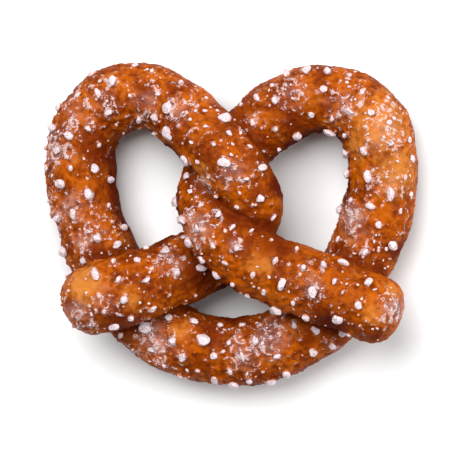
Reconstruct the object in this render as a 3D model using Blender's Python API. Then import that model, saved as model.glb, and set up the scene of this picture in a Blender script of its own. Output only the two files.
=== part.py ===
"""A soft pretzel as a small model cast in resin, lying on its back with its shown side up.

One rope runs from the left arm's end through the twist, round the left lobe, along the belly,
round the right lobe and back through the twist to the right arm's end. Salt grains stand on its
upper side. It is one casting, so rope and grains are fused into one solid, with a narrow flat
along the underside where it rests.

Frame: metres, +Z up. Seen from above, +Y points at the lobes and +X to the right. The origin is
the middle of the outline, at the surface that the pretzel rests on.
"""

import bisect
import math
import random

import bmesh
import bpy
from mathutils import Euler, Vector

# Driving dimensions. Routes are written in millimetres, and MM turns them into metres.
MM = 0.001
ROPE_RADIUS = 2.6 * MM
REST_HEIGHT = 2.42 * MM  # centre line of a strand that lies on the table
LAYER_RISE = 3.4 * MM  # how much higher a strand lies where it rides on another

# Middle of the belly, then the loop up the right side to the lobe's top: x, y, thickness.
# The left side is its mirror image.
BELLY_MIDDLE = (0.0, -9.7, 1.00)
LOOP_SIDE = [
    (3.5, -9.15, 1.00),
    (6.95, -7.15, 1.01),
    (9.2, -4.0, 1.02),
    (10.95, -0.3, 1.02),
    (11.8, 3.5, 1.02),
    (11.45, 7.0, 1.01),
    (9.6, 9.15, 1.00),
    (6.8, 9.8, 0.97),
]
# Each arm, from the lobe's top to the arm's end: x, y, layer, thickness. Layer 0 lies on the
# table and layer 1 on another strand. The left arm goes over the right arm, then under it.
LEFT_ARM = [
    (-4.3, 8.85, 0.15, 0.96),
    (-1.9, 7.15, 0.60, 0.96),
    (0.45, 5.0, 1.00, 0.96),
    (1.8, 2.8, 0.90, 0.95),
    (1.75, 0.8, 0.50, 0.94),
    (0.2, -1.2, 0.10, 0.95),
    (-2.3, -2.85, 0.10, 1.00),
    (-4.85, -3.9, 0.55, 1.02),
    (-7.2, -4.8, 1.00, 1.04),
    (-9.85, -5.6, 1.00, 1.04),
]
RIGHT_ARM = [
    (3.9, 8.7, 0.00, 0.98),
    (1.8, 7.1, 0.00, 0.98),
    (-0.1, 5.2, 0.00, 0.96),
    (-1.25, 3.4, 0.30, 0.95),
    (-1.2, 1.4, 0.70, 0.95),
    (0.1, -0.6, 1.00, 0.96),
    (2.1, -2.35, 1.00, 0.99),
    (4.9, -3.55, 1.00, 1.01),
    (8.1, -4.65, 1.00, 1.01),
    (11.8, -6.1, 0.90, 1.00),
]

# The rope's mesh
CURVE_STEPS = 40  # fine steps between two knots, from which the even rings are picked
RING_STEP = 1.15 * MM
BEVEL_STEPS = 8  # gives 4 + 2 * 8 = 20 sides
LUMP_HEIGHT = 0.02  # share of the radius by which the hand-rolled rope swells and thins
LUMP_LONG = 7.3 * MM
LUMP_SHORT = 3.1 * MM
DOME_RINGS = 5
LEFT_END_LENGTH = 0.92  # share of the radius that the left arm's rounded end stands out
RIGHT_END_LENGTH = 0.80  # the right arm's end is blunter
DOME_FULLNESS = 0.8  # under 1, the ends are fuller than a ball

# Salt grains
SALT_SEED = 11
SALT_COUNT = 180
SALT_LARGEST = 0.72 * MM
SALT_SMALLEST = 0.50 * MM
SALT_SPACING = 1.48 * MM  # least distance between two grains
SALT_FLATNESS = 0.8  # a grain's height over its width
SALT_JITTER = 0.16  # how uneven a grain's corners are, as a share of its radius
SALT_PROUD = 0.30  # how far a grain's middle stands out of the crust, as a share of its radius
SALT_ARC = math.radians(65)  # grains lie at most this far either side of the rope's top
SALT_LOWEST = 1.5 * MM
SALT_CLEAR = 0.45 * MM  # from a grain's middle to the next strand's crust
SALT_TRIES = 20000


def clear_scene():
    for obj in list(bpy.data.objects):
        bpy.data.objects.remove(obj)


def route_knots():
    """The rope's knots as (position, radius), from the left arm's end to the right arm's end."""

    def knot(x, y, layer, thickness):
        height = REST_HEIGHT + layer * LAYER_RISE
        return Vector((x * MM, y * MM, height)), thickness * ROPE_RADIUS

    right_side = [knot(x, y, 0.0, thickness) for x, y, thickness in LOOP_SIDE]
    left_side = [knot(-x, y, 0.0, thickness) for x, y, thickness in LOOP_SIDE]
    belly = [knot(BELLY_MIDDLE[0], BELLY_MIDDLE[1], 0.0, BELLY_MIDDLE[2])]
    left_arm = [knot(*row) for row in LEFT_ARM]
    right_arm = [knot(*row) for row in RIGHT_ARM]
    return left_arm[::-1] + left_side[::-1] + belly + right_side + right_arm


def between(before, start, end, after, share):
    """The value at this share of the way from start to end on a Catmull-Rom curve."""
    return 0.5 * (
        2 * start
        + (end - before) * share
        + (2 * before - 5 * start + 4 * end - after) * share**2
        + (3 * start - before - 3 * end + after) * share**3
    )


def lump(along):
    """How much the rope swells at this distance along it, as a factor."""
    waves = math.sin(math.tau * along / LUMP_LONG) + math.sin(math.tau * along / LUMP_SHORT)
    return 1.0 + LUMP_HEIGHT * waves


def spine():
    """Evenly spaced samples of the rope's centre line: (position, radius)."""
    knots = route_knots()
    last = len(knots) - 1
    fine = []
    for i in range(last):
        around = [knots[min(max(i + k, 0), last)] for k in (-1, 0, 1, 2)]
        for step in range(CURVE_STEPS):
            share = step / CURVE_STEPS
            place = between(*(knot[0] for knot in around), share)
            radius = between(*(knot[1] for knot in around), share)
            fine.append((place, radius))
    fine.append(knots[last])
    travelled = [0.0]
    for (a, _), (b, _) in zip(fine, fine[1:]):
        travelled.append(travelled[-1] + (b - a).length)
    count = round(travelled[-1] / RING_STEP)
    samples = []
    for number in range(count + 1):
        along = travelled[-1] * number / count
        place, radius = fine[min(bisect.bisect_left(travelled, along), len(fine) - 1)]
        samples.append((place, radius * lump(along)))
    return centred(samples)


def centred(samples):
    """The same samples, moved so that the rope's outline has its middle at the origin."""
    shift = Vector((0, 0, 0))
    for axis in (0, 1):
        low = min(place[axis] - radius for place, radius in samples)
        high = max(place[axis] + radius for place, radius in samples)
        shift[axis] = -(low + high) / 2
    return [(place + shift, radius) for place, radius in samples]


def dome(end, inner, radius, length):
    """Rings that close an arm as a rounded end, from the widest outwards."""
    outwards = (end - inner).normalized()
    rings = []
    for ring in range(1, DOME_RINGS + 1):
        angle = math.radians(86) * ring / DOME_RINGS
        place = end + outwards * radius * length * math.sin(angle)
        rings.append((place, radius * math.cos(angle) ** DOME_FULLNESS))
    return rings


def rope_mesh(samples):
    """The rope as a round curve of changing thickness, made a mesh. It still passes through itself."""
    (start, start_radius), (end, end_radius) = samples[0], samples[-1]
    rings = dome(start, samples[1][0], start_radius, LEFT_END_LENGTH)[::-1]
    rings += samples
    rings += dome(end, samples[-2][0], end_radius, RIGHT_END_LENGTH)
    data = bpy.data.curves.new("rope", "CURVE")
    data.dimensions = "3D"
    data.bevel_depth = ROPE_RADIUS
    data.bevel_resolution = BEVEL_STEPS
    data.use_fill_caps = True
    line = data.splines.new("POLY")
    line.points.add(len(rings) - 1)
    for point, (place, radius) in zip(line.points, rings):
        point.co = (*place, 1.0)
        point.radius = radius / ROPE_RADIUS
    curve = bpy.data.objects.new("rope", data)
    bpy.context.scene.collection.objects.link(curve)
    graph = bpy.context.evaluated_depsgraph_get()
    mesh = bpy.data.meshes.new_from_object(curve.evaluated_get(graph))
    bpy.data.objects.remove(curve)
    weld(mesh)
    return mesh


def weld(mesh):
    """Joins a curve's loose caps to its sides."""
    edit = bmesh.new()
    edit.from_mesh(mesh)
    bmesh.ops.remove_doubles(edit, verts=edit.verts, dist=0.001 * MM)
    bmesh.ops.recalc_face_normals(edit, faces=edit.faces)
    edit.to_mesh(mesh)
    edit.free()


def grain_places(samples, dice):
    """Where grains stand, as (position, outward direction), spread evenly over the upper crust."""
    places = []
    clear_of_self = int(2.6 * ROPE_RADIUS / RING_STEP)
    for _ in range(SALT_TRIES):
        if len(places) == SALT_COUNT:
            break
        i = dice.randrange(1, len(samples) - 1)
        centre, radius = samples[i]
        forward = (samples[i + 1][0] - samples[i - 1][0]).normalized()
        side = forward.cross(Vector((0, 0, 1))).normalized()
        top = side.cross(forward)
        angle = dice.uniform(-SALT_ARC, SALT_ARC)
        outwards = math.sin(angle) * side + math.cos(angle) * top
        place = centre + outwards * radius
        if place.z < SALT_LOWEST:
            continue
        if any((place - other).length < SALT_SPACING for other, _ in places):
            continue
        strands = samples[: max(i - clear_of_self, 0)] + samples[i + clear_of_self :]
        if any((place - other).length < thick + SALT_CLEAR for other, thick in strands):
            continue
        places.append((place, outwards))
    return places


def salt_grain(name, place, outwards, width, dice):
    """One chunky grain, bedded in the crust."""
    radius = width / 2
    edit = bmesh.new()
    bmesh.ops.create_icosphere(edit, subdivisions=1, radius=radius)
    spin = Euler([dice.uniform(0, math.tau) for _ in range(3)]).to_matrix()
    for vertex in edit.verts:
        vertex.co = spin @ (vertex.co * (1 + dice.uniform(-SALT_JITTER, SALT_JITTER)))
        vertex.co.z *= SALT_FLATNESS
    mesh = bpy.data.meshes.new(name)
    edit.to_mesh(mesh)
    edit.free()
    grain = bpy.data.objects.new(name, mesh)
    grain.rotation_mode = "QUATERNION"
    grain.rotation_quaternion = outwards.to_track_quat("Z", "Y")
    grain.location = place + outwards * radius * SALT_PROUD
    return grain


def salt(samples):
    """All the grains, in a collection of their own."""
    dice = random.Random(SALT_SEED)
    collection = bpy.data.collections.new("salt")
    bpy.context.scene.collection.children.link(collection)
    for number, (place, outwards) in enumerate(grain_places(samples, dice)):
        width = dice.uniform(SALT_SMALLEST, SALT_LARGEST)
        collection.objects.link(salt_grain(f"grain_{number:03d}", place, outwards, width, dice))
    return collection


def table_block():
    """The space under the table, which cuts the flat that the pretzel rests on."""
    side = 60 * MM
    bpy.ops.mesh.primitive_cube_add(size=side, location=(0, 0, -side / 2))
    block = bpy.context.object
    block.hide_render = True
    return block


def apply_boolean(obj, name, **settings):
    modifier = obj.modifiers.new(name, "BOOLEAN")
    for key, value in settings.items():
        setattr(modifier, key, value)
    with bpy.context.temp_override(object=obj, active_object=obj):
        bpy.ops.object.modifier_apply(modifier=name)


def painted_resin():
    material = bpy.data.materials.new("painted_resin")
    material.use_nodes = True
    shader = material.node_tree.nodes["Principled BSDF"]
    shader.inputs["Base Color"].default_value = (0.42, 0.12, 0.03, 1.0)
    shader.inputs["Roughness"].default_value = 0.45
    shader.inputs["Metallic"].default_value = 0.0
    return material


def build():
    clear_scene()
    collection = bpy.data.collections.new("soft_pretzel")
    bpy.context.scene.collection.children.link(collection)
    samples = spine()
    pretzel = bpy.data.objects.new("pretzel", rope_mesh(samples))
    pretzel.data.materials.append(painted_resin())
    collection.objects.link(pretzel)
    grains = salt(samples)
    apply_boolean(
        pretzel, "fuse", operation="UNION", operand_type="COLLECTION", collection=grains, use_self=True
    )
    for grain in list(grains.objects):
        bpy.data.objects.remove(grain)
    bpy.data.collections.remove(grains)
    block = table_block()
    apply_boolean(pretzel, "flat", operation="DIFFERENCE", object=block)
    bpy.data.objects.remove(block)
    pretzel.data.set_sharp_from_angle(angle=math.radians(35))


build()
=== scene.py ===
"""A soft pretzel as a small painted casting, lying on its back on a pale floor."""

import bisect
import math
import random

import bpy
import numpy as np
from mathutils import Euler, Matrix, Vector, kdtree


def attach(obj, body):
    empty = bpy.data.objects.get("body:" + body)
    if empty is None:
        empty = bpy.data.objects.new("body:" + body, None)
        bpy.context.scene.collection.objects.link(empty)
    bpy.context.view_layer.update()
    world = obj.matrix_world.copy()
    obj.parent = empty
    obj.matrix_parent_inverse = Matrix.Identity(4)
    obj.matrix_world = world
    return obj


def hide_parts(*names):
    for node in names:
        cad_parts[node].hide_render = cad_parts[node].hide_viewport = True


MM = 0.001

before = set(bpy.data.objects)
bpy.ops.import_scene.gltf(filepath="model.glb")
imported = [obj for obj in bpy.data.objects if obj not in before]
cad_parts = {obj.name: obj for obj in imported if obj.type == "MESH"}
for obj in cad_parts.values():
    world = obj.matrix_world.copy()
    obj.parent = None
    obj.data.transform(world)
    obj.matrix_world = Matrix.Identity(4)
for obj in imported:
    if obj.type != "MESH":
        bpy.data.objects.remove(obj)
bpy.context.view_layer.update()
bpy.ops.object.select_all(action="DESELECT")


# The camera looks down on the lying pretzel from where the photograph looks at the standing one:
# a little to its right and a little above its middle, from far off.
VIEW_TO_RIGHT = math.radians(12.0)
VIEW_ABOVE = math.radians(3.6)
VIEW_DISTANCE = 730 * MM
VIEW_WIDTH = 34.5 * MM  # what the picture takes in across the pretzel's middle
VIEW_AIM = Vector((0.0, 0.0, 4.2)) * MM

towards_camera = Vector(
    (
        math.sin(VIEW_TO_RIGHT) * math.cos(VIEW_ABOVE),
        math.sin(VIEW_ABOVE),
        math.cos(VIEW_TO_RIGHT) * math.cos(VIEW_ABOVE),
    )
)
picture_right = Vector((0, 1, 0)).cross(towards_camera).normalized()
picture_up = towards_camera.cross(picture_right)
bpy.ops.object.camera_add(location=VIEW_AIM + towards_camera * VIEW_DISTANCE)
camera = bpy.context.object
camera.name = "camera"
camera.rotation_euler = Matrix((picture_right, picture_up, towards_camera)).transposed().to_euler()
camera.data.lens = camera.data.sensor_width * VIEW_DISTANCE / VIEW_WIDTH
camera.data.clip_start = 10 * MM
camera.data.clip_end = 10.0
bpy.context.scene.camera = camera


# Plain studio light: a large soft window high beyond the lobes, a little to the left, and a weaker
# one low on the right. A white room fills the shadows and keeps the floor in the holes pale.
WINDOW_SIZE = 480 * MM
WINDOW_PLACE = Vector((-80, 270, 490)) * MM
WINDOW_WATTS = 4.7
FILL_SIZE = 400 * MM
FILL_PLACE = Vector((440, 60, 260)) * MM
FILL_WATTS = 2.2
ROOM_STRENGTH = 0.26
ROOM_REFLECTION = 0.08  # how bright the room shows in the gloss


def soft_light(name, place, size, watts):
    """A square area light at this place that faces the pretzel."""
    bpy.ops.object.light_add(type="AREA", location=place)
    light = bpy.context.object
    light.name = name
    light.rotation_euler = (VIEW_AIM - place).to_track_quat("-Z", "Y").to_euler()
    light.data.shape = "SQUARE"
    light.data.size = size
    light.data.energy = watts


soft_light("window", WINDOW_PLACE, WINDOW_SIZE, WINDOW_WATTS)
soft_light("fill", FILL_PLACE, FILL_SIZE, FILL_WATTS)
room = bpy.data.worlds.new("room")
room.use_nodes = True
room.node_tree.nodes["Background"].inputs["Color"].default_value = (1.0, 1.0, 1.0, 1.0)
room_light = room.node_tree.nodes.new("ShaderNodeMapRange")
room_light.inputs["To Min"].default_value = ROOM_STRENGTH
room_light.inputs["To Max"].default_value = ROOM_REFLECTION
ray = room.node_tree.nodes.new("ShaderNodeLightPath")
room.node_tree.links.new(ray.outputs["Is Glossy Ray"], room_light.inputs["Value"])
room_strength = room.node_tree.nodes["Background"].inputs["Strength"]
room.node_tree.links.new(room_light.outputs["Result"], room_strength)
bpy.context.scene.world = room
bpy.context.scene.view_settings.view_transform = "Standard"


# The floor is a plain pale board that the pretzel lies on. It isn't part of the object.
FLOOR_SIDE = 3.0
FLOOR_GAP = 0.01 * MM
FLOOR_GREY = 0.9
FLOOR_ROUGHNESS = 0.9
FLOOR_GLOSS = 0.1


def add_node(tree, kind, inputs=None, **settings):
    """A new node with its settings, and its inputs given as values or as sockets to link."""
    new = tree.nodes.new(kind)
    for name, value in settings.items():
        setattr(new, name, value)
    for name, value in (inputs or {}).items():
        if isinstance(value, bpy.types.NodeSocket):
            tree.links.new(value, new.inputs[name])
        else:
            new.inputs[name].default_value = value
    return new


def paint(red, green, blue):
    """A paint's colour from its 8-bit display values, as the linear values that a shader takes."""
    display = [value / 255 for value in (red, green, blue)]
    linear = [v / 12.92 if v <= 0.04045 else ((v + 0.055) / 1.055) ** 2.4 for v in display]
    return (*linear, 1.0)


def new_material(name):
    """An empty material: its tree, its Principled BSDF, and Object coordinates in millimetres."""
    material = bpy.data.materials.new(name)
    material.use_nodes = True
    tree = material.node_tree
    shader = tree.nodes["Principled BSDF"]
    place = add_node(tree, "ShaderNodeTexCoord").outputs["Object"]
    in_mm = add_node(tree, "ShaderNodeMapping", {"Vector": place, "Scale": (1 / MM, 1 / MM, 1 / MM)})
    return material, tree, shader, in_mm.outputs["Vector"]


bpy.ops.mesh.primitive_plane_add(size=FLOOR_SIDE, location=(0, 0, -FLOOR_GAP))
floor = bpy.context.object
floor.name = "floor"
board, tree, shader, in_mm = new_material("pale_board")
shader.inputs["Base Color"].default_value = (FLOOR_GREY, FLOOR_GREY, FLOOR_GREY, 1.0)
shader.inputs["Roughness"].default_value = FLOOR_ROUGHNESS
shader.inputs["Specular IOR Level"].default_value = FLOOR_GLOSS
floor.data.materials.append(board)
bpy.ops.object.select_all(action="DESELECT")


# The casting is one rope of dough as it was modelled for the mould: rolled a little unevenly,
# looped and twisted, with blunt ends. It is cast in one piece, so where strands cross they run
# into each other with a soft crease, and the back has a narrow flat.
ROPE_RADIUS = 2.6 * MM
REST_HEIGHT = 2.42 * MM  # centre line of a strand that lies on the floor
LAYER_RISE = 3.4 * MM  # how much higher a strand lies where it rides on another
BELLY_MIDDLE = (0.0, -9.7, 1.00)
LOOP_SIDE = [
    (3.5, -9.15, 1.00),
    (6.95, -7.15, 1.01),
    (9.2, -4.0, 1.02),
    (10.95, -0.3, 1.02),
    (11.8, 3.5, 1.02),
    (11.45, 7.0, 1.01),
    (9.6, 9.15, 1.00),
    (6.8, 9.8, 0.97),
]
LEFT_ARM = [
    (-4.3, 8.85, 0.15, 0.96),
    (-1.9, 7.15, 0.60, 0.96),
    (0.45, 5.0, 1.00, 0.96),
    (1.8, 2.8, 0.90, 0.95),
    (1.75, 0.8, 0.50, 0.94),
    (0.2, -1.2, 0.10, 0.95),
    (-2.3, -2.85, 0.10, 1.00),
    (-4.85, -3.9, 0.55, 1.02),
    (-7.2, -4.8, 1.00, 1.04),
    (-9.85, -5.6, 1.00, 1.04),
]
RIGHT_ARM = [
    (3.9, 8.7, 0.00, 0.98),
    (1.8, 7.1, 0.00, 0.98),
    (-0.1, 5.2, 0.00, 0.96),
    (-1.25, 3.4, 0.30, 0.95),
    (-1.2, 1.4, 0.70, 0.95),
    (0.1, -0.6, 1.00, 0.96),
    (2.1, -2.35, 1.00, 0.99),
    (4.9, -3.55, 1.00, 1.01),
    (8.1, -4.65, 1.00, 1.01),
    (11.8, -6.1, 0.90, 1.00),
]
CURVE_STEPS = 40
RING_STEP = 1.15 * MM  # the solid's rings, which also carry the salt
LUMP_HEIGHT = 0.02
LUMP_LONG = 7.3 * MM
LUMP_SHORT = 3.1 * MM
FINE_STEP = 0.45 * MM  # rings of the finished skin
FINE_BEVEL_STEPS = 14
DOME_RINGS = 12
DOME_END = math.radians(88)  # the last ring's angle, just short of the tip
DOME_FULLNESS = 0.8
LEFT_END_LENGTH = 0.92
RIGHT_END_LENGTH = 0.80
WELD_WITHIN = 0.002 * MM
VOXEL = 0.13 * MM
CREASE_SOFTENING = 9  # smoothing steps that fill the creases where strands meet
SKIN_SHARE = 0.66  # share of the triangles that is kept when the back is thinned
BACK_FACING = -0.25  # faces that point this far down are the back


def route_knots():
    """The rope's knots as (position, radius), from the left arm's end to the right arm's end."""

    def knot(x, y, layer, thickness):
        """One knot, from its place in millimetres, its layer and its thickness."""
        height = REST_HEIGHT + layer * LAYER_RISE
        return Vector((x * MM, y * MM, height)), thickness * ROPE_RADIUS

    right_side = [knot(x, y, 0.0, thickness) for x, y, thickness in LOOP_SIDE]
    left_side = [knot(-x, y, 0.0, thickness) for x, y, thickness in LOOP_SIDE]
    belly = [knot(BELLY_MIDDLE[0], BELLY_MIDDLE[1], 0.0, BELLY_MIDDLE[2])]
    left_arm = [knot(*row) for row in LEFT_ARM]
    right_arm = [knot(*row) for row in RIGHT_ARM]
    return left_arm[::-1] + left_side[::-1] + belly + right_side + right_arm


def between(before, start, end, after, share):
    """The value at this share of the way from start to end on a Catmull-Rom curve."""
    return 0.5 * (
        2 * start
        + (end - before) * share
        + (2 * before - 5 * start + 4 * end - after) * share**2
        + (3 * start - before - 3 * end + after) * share**3
    )


def lump(along):
    """How much the rope swells at this distance along it, as a factor."""
    waves = math.sin(math.tau * along / LUMP_LONG) + math.sin(math.tau * along / LUMP_SHORT)
    return 1.0 + LUMP_HEIGHT * waves


def spine(step):
    """Evenly spaced samples of the rope's centre line: (position, radius)."""
    knots = route_knots()
    last = len(knots) - 1
    fine = []
    for i in range(last):
        around = [knots[min(max(i + k, 0), last)] for k in (-1, 0, 1, 2)]
        for part in range(CURVE_STEPS):
            share = part / CURVE_STEPS
            place = between(*(knot[0] for knot in around), share)
            radius = between(*(knot[1] for knot in around), share)
            fine.append((place, radius))
    fine.append(knots[last])
    travelled = [0.0]
    for (a, _), (b, _) in zip(fine, fine[1:]):
        travelled.append(travelled[-1] + (b - a).length)
    count = round(travelled[-1] / step)
    samples = []
    for number in range(count + 1):
        along = travelled[-1] * number / count
        place, radius = fine[min(bisect.bisect_left(travelled, along), len(fine) - 1)]
        samples.append((place, radius * lump(along)))
    return samples


def centring_shift(samples):
    """How far the rope moves so that its outline has its middle at the origin."""
    shift = Vector((0, 0, 0))
    for axis in (0, 1):
        low = min(place[axis] - radius for place, radius in samples)
        high = max(place[axis] + radius for place, radius in samples)
        shift[axis] = -(low + high) / 2
    return shift


def dome(end, inner, radius, length):
    """Rings that close an arm as a rounded end, from the widest outwards."""
    outwards = (end - inner).normalized()
    rings = []
    for ring in range(1, DOME_RINGS + 1):
        angle = DOME_END * ring / DOME_RINGS
        place = end + outwards * radius * length * math.sin(angle)
        rings.append((place, radius * math.cos(angle) ** DOME_FULLNESS))
    return rings


def apply_modifier(piece, kind, **settings):
    """Puts a modifier on a piece with these settings and applies it."""
    modifier = piece.modifiers.new(kind.lower(), kind)
    for name, value in settings.items():
        setattr(modifier, name, value)
    bpy.context.view_layer.objects.active = piece
    bpy.ops.object.modifier_apply(modifier=modifier.name)


def coordinates(piece):
    """The places of a piece's vertices, one row each."""
    flat = np.empty(len(piece.data.vertices) * 3)
    piece.data.vertices.foreach_get("co", flat)
    return flat.reshape(-1, 3)


def normals(piece):
    """The outward directions at a piece's vertices, one row each."""
    flat = np.empty(len(piece.data.vertices) * 3)
    piece.data.vertex_normals.foreach_get("vector", flat)
    return flat.reshape(-1, 3)


solid_samples = spine(RING_STEP)
shift = centring_shift(solid_samples)
solid_samples = [(place + shift, radius) for place, radius in solid_samples]
fine_samples = [(place + shift, radius) for place, radius in spine(FINE_STEP)]

rings = dome(fine_samples[0][0], fine_samples[1][0], fine_samples[0][1], LEFT_END_LENGTH)[::-1]
rings += fine_samples
rings += dome(fine_samples[-1][0], fine_samples[-2][0], fine_samples[-1][1], RIGHT_END_LENGTH)
bpy.ops.curve.primitive_nurbs_path_add()
casting = bpy.context.object
casting.name = "casting"
casting.data.name = "casting"
casting.data.splines.clear()
line = casting.data.splines.new("POLY")
line.points.add(len(rings) - 1)
for point, (place, radius) in zip(line.points, rings):
    point.co = (*place, 1.0)
    point.radius = radius / ROPE_RADIUS
casting.data.bevel_depth = ROPE_RADIUS
casting.data.bevel_resolution = FINE_BEVEL_STEPS
casting.data.use_fill_caps = True
bpy.ops.object.convert(target="MESH")
apply_modifier(casting, "WELD", merge_threshold=WELD_WITHIN)
apply_modifier(casting, "REMESH", mode="VOXEL", voxel_size=VOXEL, use_smooth_shade=True)
apply_modifier(casting, "SMOOTH", factor=0.5, iterations=CREASE_SOFTENING)

back_group = casting.vertex_groups.new(name="back")
back_group.add(np.nonzero(normals(casting)[:, 2] < BACK_FACING)[0].tolist(), 1.0, "REPLACE")
apply_modifier(casting, "DECIMATE", ratio=SKIN_SHARE, vertex_group="back")


# The casting's skin was tooled before it was moulded: low lumps, short curled ridges and blisters,
# more of them where the brush went later, a skirt round each grain of salt, and a fine crumb.
RELIEF_STEPS = 20
BACK_RELIEF = 0.35  # how much of the relief the back has
SIDE_FACING = (-0.4, 0.3)  # the relief grows from the back's to the front's between these
FLAT_HEIGHTS = (0.25 * MM, 1.0 * MM)  # and fades out between these, down to the floor
LUMPS_SIZE = 2.4 * MM
LUMPS_HEIGHT = 0.24 * MM
SAME_SIDE = 0.4  # vertices that face alike by this much are on one side of the rope
SHOWN_FACING = -0.2
CURL_SEED = 3
CURL_COUNT = 900
CURL_RADIUS = (0.2 * MM, 0.62 * MM)
CURL_TURN = (0.15, 0.7)  # of a whole turn
CURL_SQUEEZE = (0.65, 1.4)
CURL_OPENING = 0.45  # how much wider a curl is after a whole turn
CURL_WIDTH = (0.07 * MM, 0.13 * MM)
CURL_STRENGTH = (0.5, 1.0)
CURL_HEIGHT = 0.11 * MM
CURL_OUTSIDE = 0.2  # chance that a curl stays where the brush hardly went
BLISTER_COUNT = 1600
BLISTER_RADIUS = (0.12 * MM, 0.27 * MM)
BLISTER_STRENGTH = (0.4, 1.0)
BLISTER_HEIGHT = 0.10 * MM
SKIRT_WIDTH = 1.5  # of a grain's own, where the crust swells round it
SKIRT_HEIGHT = 0.11 * MM
SKIRT_SHARE = 0.8  # of a blister's height, for the brush
CRUMB_SIZE = 0.42 * MM
CRUMB_HEIGHT = 0.3 * MM
SALT_SEED = 11
SALT_COUNT = 180
SALT_LARGEST = 0.92 * MM
SALT_SMALLEST = 0.42 * MM
SALT_SPACING = 1.48 * MM
SALT_ARC = math.radians(65)
SALT_LOWEST = 1.5 * MM
SALT_CLEAR = 0.45 * MM
SALT_TRIES = 20000
OWN_STRAND = 2.6  # a strand's own stretch, in rope radii along it, for the salt's clearance
# where the pale paint was brushed on, and where it is also a painted sheen on lit sides:
# a spot's middle, its reach in millimetres, its strength
BRUSHED_AND_SHEEN_SPOTS = [
    (-11.6, 8.2, 2.4, 0.75),
    (-13.2, 5.6, 2.0, 0.9),
    (-9.4, 9.4, 1.8, 0.75),
    (-6.2, 9.5, 1.9, 0.8),
    (-12.0, 1.2, 2.4, 0.8),
    (-10.0, 0.0, 1.6, 0.75),
    (-11.0, -1.1, 1.4, 0.9),
    (-3.2, 8.8, 2.0, 0.75),
    (1.3, 4.3, 2.0, 0.8),
    (-0.9, 3.5, 1.2, 0.8),
    (3.0, 2.4, 1.3, 0.4),
    (-1.3, 0.0, 2.0, 0.9),
    (1.7, -1.1, 1.2, 0.85),
    (-3.9, -2.8, 1.4, 0.8),
    (-8.6, -5.5, 1.7, 0.85),
    (-10.8, -6.6, 1.8, 1.0),
    (7.6, -4.4, 1.9, 0.75),
    (13.6, -6.0, 1.4, 1.0),
    (10.6, -0.4, 2.1, 0.65),
    (9.8, 0.9, 1.8, 1.0),
    (12.4, 3.4, 2.3, 0.7),
    (12.4, 7.4, 2.6, 0.75),
    (9.0, 9.3, 2.0, 0.85),
    (5.3, 10.2, 1.7, 0.9),
    (2.2, 8.0, 1.4, 0.65),
    (3.6, -8.5, 2.0, 1.0),
    (1.4, -9.6, 1.9, 0.9),
    (-5.2, -9.0, 2.2, 1.0),
    (8.3, -9.0, 0.9, 0.8),
]


def smooth_step(values, low, high):
    """0 below low, 1 above high, and a smooth rise between."""
    share = np.clip((values - low) / (high - low), 0.0, 1.0)
    return share * share * (3.0 - 2.0 * share)


def raised(piece, texture, height, group):
    """Raises a relief on a piece, and gives how far each vertex moved outwards."""
    before = coordinates(piece)
    outwards = normals(piece)
    apply_modifier(
        piece,
        "DISPLACE",
        texture=texture,
        texture_coords="LOCAL",
        strength=height,
        mid_level=0.5,
        vertex_group=group,
    )
    return ((coordinates(piece) - before) * outwards).sum(axis=1)


def lift(piece, heights):
    """Moves each vertex of a piece outwards by its own height."""
    places = coordinates(piece) + normals(piece) * heights[:, None]
    piece.data.vertices.foreach_set("co", places.ravel())
    piece.data.update()


def near_vertices(neighbours, places, outwards, middle, reach):
    """The vertices within reach of a vertex on the same side of the rope, and their offsets."""
    found = np.array([index for _, index, _ in neighbours.find_range(places[middle], reach)])
    found = found[outwards[found] @ outwards[middle] > SAME_SIDE]
    return found, places[found] - places[middle]


def curls(neighbours, places, outwards, chosen, dice):
    """How high the curls stand at each vertex, 0 to 1: short ridges, each an open turn or less."""
    heights = np.zeros(len(places))
    for middle in chosen:
        radius = dice.uniform(*CURL_RADIUS)
        width = dice.uniform(*CURL_WIDTH)
        extent = math.tau * dice.uniform(*CURL_TURN)
        start = dice.uniform(0, math.tau)
        strength = dice.uniform(*CURL_STRENGTH)
        squeeze = dice.uniform(*CURL_SQUEEZE)
        reach = (radius * (1 + CURL_OPENING) + 2 * width) * 1.4
        found, offsets = near_vertices(neighbours, places, outwards, middle, reach)
        axis = Vector(outwards[middle])
        across = axis.orthogonal().normalized()
        ahead = axis.cross(across)
        right, front = offsets @ np.array(across) * squeeze, offsets @ np.array(ahead)
        turned = (np.arctan2(front, right) - start) % math.tau
        grown = radius * (1 + CURL_OPENING * turned / math.tau)
        ridge = np.exp(-(((np.hypot(right, front) - grown) / width) ** 2))
        ends = np.clip(1 - np.abs(2 * turned / extent - 1) ** 4, 0, 1)
        heights[found] = np.maximum(heights[found], ridge * ends * strength)
    return heights


def blisters(neighbours, places, outwards, chosen, dice):
    """How high the blisters stand at each vertex, 0 to 1: low round bumps of many sizes."""
    heights = np.zeros(len(places))
    for middle in chosen:
        radius = dice.uniform(*BLISTER_RADIUS)
        found, offsets = near_vertices(neighbours, places, outwards, middle, 2 * radius)
        bump = np.exp(-((np.linalg.norm(offsets, axis=1) / radius) ** 2))
        heights[found] = np.maximum(heights[found], bump * dice.uniform(*BLISTER_STRENGTH))
    return heights


def skirts(neighbours, places, grains, widths):
    """How high the crust swells at each vertex, 0 to 1, round the grains that stand on it."""
    heights = np.zeros(len(places))
    for (place, _), width in zip(grains, widths):
        reach = width / 2 * SKIRT_WIDTH
        found = np.array([i for _, i, _ in neighbours.find_range(place, 2 * reach)], dtype=int)
        away = np.linalg.norm(places[found] - np.array(place), axis=1)
        heights[found] = np.maximum(heights[found], np.exp(-((away / reach) ** 2)))
    return heights


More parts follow.
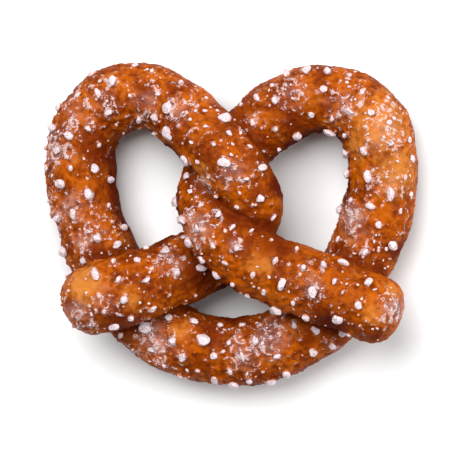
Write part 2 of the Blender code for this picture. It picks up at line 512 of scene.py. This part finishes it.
def grain_places(samples, dice):
    """Where grains stand, as (position, outward direction), spread evenly over the upper crust."""
    places = []
    clear_of_self = int(OWN_STRAND * ROPE_RADIUS / RING_STEP)
    for _ in range(SALT_TRIES):
        if len(places) == SALT_COUNT:
            break
        i = dice.randrange(1, len(samples) - 1)
        centre, radius = samples[i]
        forward = (samples[i + 1][0] - samples[i - 1][0]).normalized()
        side = forward.cross(Vector((0, 0, 1))).normalized()
        top = side.cross(forward)
        angle = dice.uniform(-SALT_ARC, SALT_ARC)
        outwards = math.sin(angle) * side + math.cos(angle) * top
        place = centre + outwards * radius
        if place.z < SALT_LOWEST:
            continue
        if any((place - other).length < SALT_SPACING for other, _ in places):
            continue
        strands = samples[: max(i - clear_of_self, 0)] + samples[i + clear_of_self :]
        if any((place - other).length < thick + SALT_CLEAR for other, thick in strands):
            continue
        places.append((place, outwards))
    return places


def scattered(places, outwards, brushed_and_sheen, count, outside, dice):
    """Vertices picked by chance from the shown side, more of them where the brush went."""
    chosen = []
    while len(chosen) < count:
        i = dice.randrange(len(places))
        if outwards[i][2] > SHOWN_FACING and dice.random() < outside + (1 - outside) * brushed_and_sheen[i]:
            chosen.append(i)
    return chosen


def spotted(places, spots):
    """How strongly each place is touched by these spots, given as (x, y, reach, strength)."""
    touched = np.zeros(len(places))
    for x, y, reach, strength in spots:
        away = np.hypot(places[:, 0] / MM - x, places[:, 1] / MM - y)
        touched = np.maximum(touched, strength * np.exp(-((away / reach) ** 2)))
    return touched


smooth_places = coordinates(casting)
smooth_outwards = normals(casting)
front_share = smooth_step(smooth_outwards[:, 2], *SIDE_FACING)
relief_share = smooth_step(smooth_places[:, 2], *FLAT_HEIGHTS)
relief_share *= BACK_RELIEF + (1 - BACK_RELIEF) * front_share
relief_group = casting.vertex_groups.new(name="relief")
for step in range(RELIEF_STEPS + 1):
    chosen = np.nonzero(np.round(relief_share * RELIEF_STEPS) == step)[0]
    relief_group.add(chosen.tolist(), step / RELIEF_STEPS, "REPLACE")

lumps = bpy.data.textures.new("lumps", "CLOUDS")
lumps.noise_scale = LUMPS_SIZE
lumps.noise_depth = 1
raised(casting, lumps, LUMPS_HEIGHT, "relief")

brushed_and_sheen = spotted(smooth_places, BRUSHED_AND_SHEEN_SPOTS)
dice = random.Random(CURL_SEED)
neighbours = kdtree.KDTree(len(smooth_places))
for number, place in enumerate(smooth_places):
    neighbours.insert(place, number)
neighbours.balance()
chosen = scattered(smooth_places, smooth_outwards, brushed_and_sheen, CURL_COUNT, CURL_OUTSIDE, dice)
curl = curls(neighbours, smooth_places, smooth_outwards, chosen, dice)
chosen = scattered(smooth_places, smooth_outwards, brushed_and_sheen, BLISTER_COUNT, CURL_OUTSIDE, dice)
blister = blisters(neighbours, smooth_places, smooth_outwards, chosen, dice)
dice = random.Random(SALT_SEED)
salt_places = grain_places(solid_samples, dice)
salt_shares = [dice.random() ** 2 for _ in salt_places]
salt_widths = [SALT_SMALLEST + (SALT_LARGEST - SALT_SMALLEST) * share for share in salt_shares]
skirt = skirts(neighbours, smooth_places, salt_places, salt_widths)
raise_by = curl * CURL_HEIGHT + blister * BLISTER_HEIGHT + skirt * SKIRT_HEIGHT
lift(casting, raise_by * relief_share)
crumb = bpy.data.textures.new("crumb", "CLOUDS")
crumb.noise_scale = CRUMB_SIZE
crumb.noise_depth = 2
crumb_height = raised(casting, crumb, CRUMB_HEIGHT, "relief")

places = coordinates(casting)
places[:, 2] = np.maximum(places[:, 2], 0.0)  # nothing dips into the floor
casting.data.vertices.foreach_set("co", places.ravel())
casting.data.update()


# The casting's paint is a glossy orange coat with brown in it, a dark wash in its hollows that is
# also painted shade on the low sides and in creases and holes, and a pale haze brushed on nearly
# dry that is partly a painted sheen. Spots of painted highlight on lit tops, and spots of painted
# shade where one strand shades another, are given as the brushed ones are.
# painted highlight: lit tops painted a lighter peach, as (x, y, reach, strength)
HIGHLIGHT_SPOTS = [
    (-1.2, 4.2, 1.2, 0.6),
    (-10.2, -4.3, 1.6, 1.0),
    (-6.6, -5.3, 1.0, 0.7),
    (3.6, -2.8, 1.4, 0.6),
    (12.2, 8.0, 2.9, 0.75),
    (13.4, 4.4, 2.3, 0.75),
    (10.4, 6.4, 1.4, 0.7),
    (-3.5, -8.0, 1.0, 0.6),
    (12.1, -6.4, 1.0, 0.7),
    (13.5, -4.6, 0.9, 0.7),
]
# painted shade: places where one strand shadows another or a crease lies in shade, painted darker
PAINTED_SHADE_SPOTS = [
    (4.4, -1.1, 1.8, 0.8),
    (-8.8, 5.3, 1.8, 0.9),
    (-2.0, -3.6, 1.7, 0.9),
    (10.2, -2.8, 1.3, 0.5),
    (-7.2, -1.6, 1.2, 0.5),
    (-1.0, -7.5, 1.5, 0.7),
    (13.0, -1.8, 1.2, 0.7),
    (8.6, -7.1, 1.8, 1.0),
    (12.0, -8.0, 1.2, 0.6),
    (5.4, 7.9, 1.6, 0.8),
    (0.5, 8.0, 1.2, 0.6),
    (3.7, 5.2, 1.4, 0.8),
    (-7.9, -7.6, 1.4, 0.9),
]
OWN_STRAND_SAMPLES = 7  # the same stretch, in rings of the solid, for the creases
HOLES = [(-5.9, 2.6), (6.7, 3.8), (0.3, -5.6)]  # their middles
HOLE_REACH = (3.6 * MM, 5.4 * MM)
HOLE_FACING = (0.65, 1.0)
CREASE_REACH = 2.1 * MM
DEEP_ORANGE = (170, 80, 0)
WARM_BROWN = (120, 46, 0)
OCHRE = (192, 114, 40)
# dark wash brown, also the painted shade in hollows, creases, holes and on the low sides
WASH_AND_SHADE_BROWN = (84, 18, 0)
# pale dry-brushed haze, also a painted sheen on the lit sides
PINK_HAZE_AND_SHEEN = (204, 186, 186)
# peach of a worn thin coat, and of the painted highlight on lit tops
PEACH_WEAR_AND_HIGHLIGHT = (200, 124, 50)
# the noises that break up the paint, in waves a millimetre
TONE_WAVES = 0.55
MOTTLE_WAVES = 2.6
MOTTLE_SHARE = 0.5
THICK_WAVES = 0.9
THIN_WAVES = 1.3
PATCH_WAVES = 0.42
FILM_WAVES = 0.9
STREAK_WAVES = 1.6
STIPPLE_WAVES = 7.0
SPECK_WAVES = 9.0
GRAIN_WAVES = 6.0
# each pair of levels is where a rise begins and ends, and a third is how high it goes
TONE_LEVELS = (0.6, 0.9)
THICK_LEVELS = (0.58, 0.76, 0.45)
THIN_LEVELS = (0.65, 1.45, 0.8)
UPPER_LEVELS = (-0.3, 0.4)
# the next four place the dark wash and painted shade: low sides, creases, holes, crumb valleys
SHADED_UNDERSIDE_LEVELS = (0.0, 0.6, 0.8)
CREASE_LEVELS = (0.1, 1.0, 0.75)
HOLE_LEVELS = (0.0, 1.0, 0.9)
VALLEY_LEVELS = (-0.05, 0.25, 0.5)
PATCH_LEVELS = (0.3, 0.7, 0.12)
FILM_LEVELS = (0.22, 0.65, 0.2)
# keeps the haze and painted sheen off the wash and painted shade
OUTSIDE_WASH_AND_SHADE_LEVELS = (0.0, 0.6)
SPECK_LEVELS = (0.36, 0.56)
SPECK_DEPTH = 0.6
BRUSH_COVERAGE = 0.6  # how much more paint the brush left in the middle of a spot
BRUSH_DRYNESS = 0.06
BRUSH_REACH = 0.3  # how far round the side, and into the wash and painted shade, it reached there
BRUSH_SOFTNESS = 0.26
BRUSH_STREAKS = 1.0
BRUSH_STIPPLE = 1.9
HAZE_OPACITY = 0.92
COAT_ROUGHNESS = (0.4, 0.8)  # glossy, and dull where the haze or the wash and painted shade lie on it
COAT_IOR = 1.14
GRAIN_DEPTH = 0.07 * MM


def distance_to_strands(places, samples):
    """For each place, the gap to the nearest strand other than the one that it lies on."""
    centres = np.array([place for place, _ in samples])
    radii = np.array([radius for _, radius in samples])
    gaps = np.linalg.norm(places[:, None, :] - centres[None, :, :], axis=2) - radii
    own = gaps.argmin(axis=1)
    along = np.abs(np.arange(len(samples))[None, :] - own[:, None])
    gaps[along < OWN_STRAND_SAMPLES] = 1.0
    return gaps.min(axis=1)


def facing_a_hole(places, outwards):
    """How much each vertex looks into one of the holes, from 0 to 1."""
    most = np.zeros(len(places))
    for x, y in HOLES:
        inwards = np.array((x, y)) * MM - places[:, :2]
        away = np.linalg.norm(inwards, axis=1)
        facing = (inwards * outwards[:, :2]).sum(axis=1) / away
        near = 1.0 - smooth_step(away, *HOLE_REACH)
        most = np.maximum(most, smooth_step(facing, *HOLE_FACING) * near)
    return most


def store(piece, name, values):
    """Keeps a value for each vertex, for the material to read."""
    attribute = piece.data.attributes.new(name, "FLOAT", "POINT")
    attribute.data.foreach_set("value", np.asarray(values, dtype=np.float32))


def attribute(tree, name):
    """A value that the piece keeps for each vertex."""
    return add_node(tree, "ShaderNodeAttribute", attribute_name=name).outputs["Fac"]


def mixed(tree, share, under, over):
    """The over colour laid on the under colour, by this share."""
    mix = add_node(tree, "ShaderNodeMix", {0: share, 6: under, 7: over}, data_type="RGBA")
    return mix.outputs[2]


def rise(tree, value, low, high, top=1.0):
    """A smooth rise from 0 at low to top at high."""
    inputs = {"Value": value, "From Min": low, "From Max": high, "To Max": top}
    step = add_node(tree, "ShaderNodeMapRange", inputs, interpolation_type="SMOOTHSTEP")
    return step.outputs["Result"]


def math_node(tree, operation, first, second):
    """The result of one sum on two values."""
    return add_node(tree, "ShaderNodeMath", {0: first, 1: second}, operation=operation).outputs[0]


def waves(tree, vector, scale, detail=2.0):
    """A noise of this many waves a millimetre, from 0 to 1."""
    inputs = {"Vector": vector, "Scale": scale, "Detail": detail}
    return add_node(tree, "ShaderNodeTexNoise", inputs).outputs["Fac"]


def dry_brush_group():
    """Where a nearly dry brush leaves paint: on what stands high, broken up by a fine grain."""
    group = bpy.data.node_groups.new("dry_brush", "ShaderNodeTree")
    for name, kind in (
        ("Vector", "NodeSocketVector"),
        ("Height", "NodeSocketFloat"),
        ("Coverage", "NodeSocketFloat"),
        ("Softness", "NodeSocketFloat"),
        ("Streaks", "NodeSocketFloat"),
        ("Stipple", "NodeSocketFloat"),
    ):
        group.interface.new_socket(name=name, in_out="INPUT", socket_type=kind)
    group.interface.new_socket(name="Mask", in_out="OUTPUT", socket_type="NodeSocketFloat")
    given = add_node(group, "NodeGroupInput").outputs
    level = given["Height"]
    for amount, scale in ((given["Streaks"], STREAK_WAVES), (given["Stipple"], STIPPLE_WAVES)):
        uneven = math_node(group, "SUBTRACT", waves(group, given["Vector"], scale, 3.0), 0.5)
        level = math_node(group, "ADD", level, math_node(group, "MULTIPLY", uneven, amount))
    edge = math_node(group, "SUBTRACT", 1.0, given["Coverage"])
    low = math_node(group, "SUBTRACT", edge, given["Softness"])
    high = math_node(group, "ADD", edge, given["Softness"])
    specks = rise(group, waves(group, given["Vector"], SPECK_WAVES), *SPECK_LEVELS)
    broken = math_node(group, "MULTIPLY", specks, SPECK_DEPTH)
    broken = math_node(group, "ADD", broken, 1.0 - SPECK_DEPTH)
    mask = math_node(group, "MULTIPLY", rise(group, level, low, high), broken)
    result = add_node(group, "NodeGroupOutput")
    group.links.new(mask, result.inputs["Mask"])
    return group


gap = distance_to_strands(smooth_places, solid_samples)
inner = facing_a_hole(smooth_places, smooth_outwards)
store(casting, "curl", curl)
store(casting, "blister", np.maximum(blister, skirt * SKIRT_SHARE))
store(casting, "crumb", crumb_height / CRUMB_HEIGHT)
store(casting, "inner", inner)
store(casting, "upward", smooth_outwards[:, 2])
store(casting, "crease", 1.0 - smooth_step(gap, 0.0, CREASE_REACH))
# the brushed haze spots, partly a painted sheen
store(casting, "brushed_and_sheen", brushed_and_sheen)
# the painted highlight spots
store(casting, "highlight_spots", spotted(smooth_places, HIGHLIGHT_SPOTS))
# the painted shade spots
store(casting, "painted_shade", spotted(smooth_places, PAINTED_SHADE_SPOTS))

dry_brush = dry_brush_group()
painted, tree, shader, in_mm = new_material("painted_resin")

# The base coat varies from orange to brown, ochre where it is thick and peach where it is worn
# thin, and peach too where a highlight is painted on the lit tops.
mottle = math_node(tree, "MULTIPLY", waves(tree, in_mm, MOTTLE_WAVES), MOTTLE_SHARE)
tone = math_node(tree, "ADD", waves(tree, in_mm, TONE_WAVES, 3.0), mottle)
tone = rise(tree, tone, *TONE_LEVELS)
coat = mixed(tree, tone, paint(*WARM_BROWN), paint(*DEEP_ORANGE))
thick = rise(tree, waves(tree, in_mm, THICK_WAVES), *THICK_LEVELS)
coat = mixed(tree, thick, coat, paint(*OCHRE))
uppermost = rise(tree, attribute(tree, "upward"), *UPPER_LEVELS)
# painted highlight, only on the tops that face up
highlight_on_top = math_node(tree, "MULTIPLY", attribute(tree, "highlight_spots"), uppermost)
thin_coat_and_highlight = math_node(tree, "ADD", highlight_on_top, waves(tree, in_mm, THIN_WAVES, 3.0))
coat = mixed(tree, rise(tree, thin_coat_and_highlight, *THIN_LEVELS), coat, paint(*PEACH_WEAR_AND_HIGHLIGHT))

# A dark wash with painted shade lies on the low sides, in creases and holes, in the crumb's
# valleys and at the painted shade spots, but not under the painted highlight.
downward = math_node(tree, "MULTIPLY", attribute(tree, "upward"), -1.0)
sunken = math_node(tree, "MULTIPLY", attribute(tree, "crumb"), -1.0)
# painted shade on the sides that face down
wash_and_shade = rise(tree, downward, *SHADED_UNDERSIDE_LEVELS)
for more in (
    rise(tree, attribute(tree, "crease"), *CREASE_LEVELS),
    rise(tree, sunken, *VALLEY_LEVELS),
    rise(tree, attribute(tree, "inner"), *HOLE_LEVELS),
    attribute(tree, "painted_shade"),
):
    wash_and_shade = math_node(tree, "MAXIMUM", wash_and_shade, more)
# the wash and painted shade are left off where the highlight is painted
wash_and_shade_kept = rise(tree, math_node(tree, "SUBTRACT", 1.0, highlight_on_top), 0.0, 1.0)
wash_and_shade = math_node(tree, "MULTIPLY", wash_and_shade, wash_and_shade_kept)
coat = mixed(tree, wash_and_shade, coat, paint(*WASH_AND_SHADE_BROWN))

# Pale paint was brushed over it nearly dry, and left a thin film where the brush went most. Both
# also serve as a painted sheen on the lit sides, and stay off the wash and painted shade.
high_spot = math_node(tree, "MAXIMUM", attribute(tree, "curl"), attribute(tree, "blister"))
high_spot = math_node(tree, "ADD", high_spot, attribute(tree, "crumb"))
coverage = math_node(tree, "MULTIPLY", attribute(tree, "brushed_and_sheen"), BRUSH_COVERAGE)
patches = rise(tree, waves(tree, in_mm, PATCH_WAVES), *PATCH_LEVELS)
coverage = math_node(tree, "ADD", patches, coverage)
coverage = math_node(tree, "SUBTRACT", coverage, BRUSH_DRYNESS)
haze_and_sheen = add_node(
    tree,
    "ShaderNodeGroup",
    node_tree=dry_brush,
    inputs={
        "Vector": in_mm,
        "Height": high_spot,
        "Coverage": coverage,
        "Softness": BRUSH_SOFTNESS,
        "Streaks": BRUSH_STREAKS,
        "Stipple": BRUSH_STIPPLE,
    },
).outputs["Mask"]
film_and_sheen = math_node(tree, "MULTIPLY", attribute(tree, "brushed_and_sheen"), waves(tree, in_mm, FILM_WAVES, 3.0))
film_and_sheen = rise(tree, film_and_sheen, *FILM_LEVELS)
haze_and_sheen = math_node(tree, "MAXIMUM", math_node(tree, "MULTIPLY", haze_and_sheen, HAZE_OPACITY), film_and_sheen)
reach = math_node(tree, "MULTIPLY", attribute(tree, "brushed_and_sheen"), BRUSH_REACH)
within_reach = math_node(tree, "ADD", attribute(tree, "upward"), reach)
within_reach = rise(tree, within_reach, *UPPER_LEVELS)
outside_wash_and_shade = math_node(tree, "SUBTRACT", math_node(tree, "ADD", reach, 1.0), wash_and_shade)
outside_wash_and_shade = rise(tree, outside_wash_and_shade, *OUTSIDE_WASH_AND_SHADE_LEVELS)
within_reach = math_node(tree, "MULTIPLY", within_reach, outside_wash_and_shade)
haze_and_sheen = math_node(tree, "MULTIPLY", haze_and_sheen, within_reach)
coat = mixed(tree, haze_and_sheen, coat, paint(*PINK_HAZE_AND_SHEEN))
tree.links.new(coat, shader.inputs["Base Color"])

dull = math_node(tree, "MAXIMUM", haze_and_sheen, wash_and_shade)
least, most = COAT_ROUGHNESS
shine = add_node(tree, "ShaderNodeMapRange", {"Value": dull, "To Min": least, "To Max": most})
tree.links.new(shine.outputs["Result"], shader.inputs["Roughness"])
shader.inputs["IOR"].default_value = COAT_IOR
grain = waves(tree, in_mm, GRAIN_WAVES, 4.0)
bump = add_node(tree, "ShaderNodeBump", {"Height": grain, "Strength": 1.0, "Distance": GRAIN_DEPTH})
tree.links.new(bump.outputs["Normal"], shader.inputs["Normal"])
casting.data.materials.clear()
casting.data.materials.append(painted)
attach(casting, "root")
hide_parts("pretzel")
bpy.ops.object.select_all(action="DESELECT")


# The salt is part of the same casting: irregular grains bedded in the crust, spread evenly over
# its upper side. White paint was brushed across their tops, so their feet keep the crust's colour.
SALT_FLATNESS = 0.8
SALT_STRETCH = (0.65, 1.45)
BROKEN_EDGE = math.radians(28)  # edges sharper than this stay crisp
SALT_PROUD = 0.35
SALT_BRUSHING = (0.0, 0.8)  # how much white the brush left on a grain, least and most
TALL_BRUSHING = 0.7  # the brush catches the largest grains first
GRAIN_FOOT = (178, 96, 40)
SALT_WHITE = (210, 202, 210)
WHITE_HEIGHTS = (0.0, 0.5, 1.3)  # over a grain's height the brush catches it more
WHITE_SOFTNESS = 0.3
WHITE_STREAKS = 0.3
WHITE_STIPPLE = 1.0
SALT_ROUGHNESS = 0.55
GRAIN_MODELS = 12
GRAIN_FINENESS = 2
GRAIN_FACETS = 8
GRAIN_FACET_DEPTH = (0.5, 0.85)  # of the grain's radius


def broken_grain(dice, fineness):
    """A model grain: a ball with flat facets broken off it on all sides."""
    bpy.ops.mesh.primitive_ico_sphere_add(subdivisions=fineness, radius=1.0)
    grain = bpy.context.object
    bpy.ops.object.mode_set(mode="EDIT")
    for _ in range(GRAIN_FACETS):
        facing = Vector([dice.gauss(0, 1) for _ in range(3)]).normalized()
        bpy.ops.mesh.select_all(action="SELECT")
        bpy.ops.mesh.bisect(
            plane_co=facing * dice.uniform(*GRAIN_FACET_DEPTH),
            plane_no=facing,
            use_fill=True,
            clear_outer=True,
        )
    bpy.ops.object.mode_set(mode="OBJECT")
    bpy.ops.object.shade_smooth()
    return grain


def bed_grain(models, place, outwards, width, dice, proud, painted):
    """A copy of one of the model grains, turned, stretched and bedded in the crust."""
    model = dice.choice(models)
    grain = model.copy()
    grain.data = model.data.copy()
    bpy.context.scene.collection.objects.link(grain)
    spin = Euler([dice.uniform(0, math.tau) for _ in range(3)]).to_matrix()
    turn = outwards.to_track_quat("Z", "Y").to_matrix()
    radius = width / 2
    stretch = Vector([dice.uniform(*SALT_STRETCH) for _ in range(3)])
    for vertex in grain.data.vertices:
        corner = spin @ vertex.co * radius
        corner = Vector((corner.x * stretch.x, corner.y * stretch.y, corner.z * SALT_FLATNESS))
        vertex.co = place + outwards * radius * proud + turn @ corner
    top = (np.array([v.co for v in grain.data.vertices]) - np.array(place)) @ np.array(outwards)
    store(grain, "top", top / width)
    store(grain, "paint", [painted] * len(top))
    return grain


def joined(grains, name):
    """One piece made of all these grains."""
    bpy.ops.object.select_all(action="DESELECT")
    for grain in grains:
        grain.select_set(True)
    bpy.context.view_layer.objects.active = grains[0]
    bpy.ops.object.join()
    piece = bpy.context.object
    piece.name = name
    piece.data.name = name
    return piece


dice = random.Random(SALT_SEED)
models = [broken_grain(dice, GRAIN_FINENESS) for _ in range(GRAIN_MODELS)]
grains = []
for (place, outwards), width, share in zip(salt_places, salt_widths, salt_shares):
    _, seat, _, _ = casting.closest_point_on_mesh(place)
    white = dice.uniform(*SALT_BRUSHING) + TALL_BRUSHING * share
    grains.append(bed_grain(models, seat, outwards, width, dice, SALT_PROUD, white))
salt = joined(grains, "salt_grains")
bpy.ops.object.shade_smooth_by_angle(angle=BROKEN_EDGE)

salt_paint, tree, shader, in_mm = new_material("brushed_salt")
white = add_node(
    tree,
    "ShaderNodeGroup",
    node_tree=dry_brush,
    inputs={
        "Vector": in_mm,
        "Height": rise(tree, attribute(tree, "top"), *WHITE_HEIGHTS),
        "Coverage": attribute(tree, "paint"),
        "Softness": WHITE_SOFTNESS,
        "Streaks": WHITE_STREAKS,
        "Stipple": WHITE_STIPPLE,
    },
).outputs["Mask"]
coat = mixed(tree, white, paint(*GRAIN_FOOT), paint(*SALT_WHITE))
tree.links.new(coat, shader.inputs["Base Color"])
shader.inputs["Roughness"].default_value = SALT_ROUGHNESS
salt.data.materials.clear()
salt.data.materials.append(salt_paint)
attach(salt, "root")


# Between the grains lies finer salt of the same kind, scattered with no order and thicker where
# the crust curls. The brush left some of these grains bare.
FINE_SEED = 5
FINE_COUNT = 340
FINE_LARGEST = 0.36 * MM
FINE_SMALLEST = 0.20 * MM
FINE_PROUD = 0.2
FINE_BRUSHING = (0.0, 0.7)
FINE_FINENESS = 1
FINE_LEAST_UPWARD = 0.1
FINE_MOST_INNER = 0.3  # none where the crust looks into a hole
FINE_ON_FLAT = 0.12  # chance that a grain stays where the crust has no curl

dice = random.Random(FINE_SEED)
fine_models = [broken_grain(dice, FINE_FINENESS) for _ in range(GRAIN_MODELS)]
skin_places = coordinates(casting)
skin_outwards = normals(casting)
grains = []
while len(grains) < FINE_COUNT:
    i = dice.randrange(len(skin_places))
    if smooth_outwards[i][2] < FINE_LEAST_UPWARD or inner[i] > FINE_MOST_INNER:
        continue
    if dice.random() > FINE_ON_FLAT + (1 - FINE_ON_FLAT) * curl[i]:
        continue
    width = FINE_SMALLEST + (FINE_LARGEST - FINE_SMALLEST) * dice.random() ** 2
    place, outwards = Vector(skin_places[i]), Vector(skin_outwards[i])
    white = dice.uniform(*FINE_BRUSHING)
    grains.append(bed_grain(fine_models, place, outwards, width, dice, FINE_PROUD, white))
fine_salt = joined(grains, "fine_salt")
bpy.ops.object.shade_smooth_by_angle(angle=BROKEN_EDGE)
fine_salt.data.materials.clear()
fine_salt.data.materials.append(salt_paint)
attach(fine_salt, "root")
for model in models + fine_models:
    bpy.data.objects.remove(model)
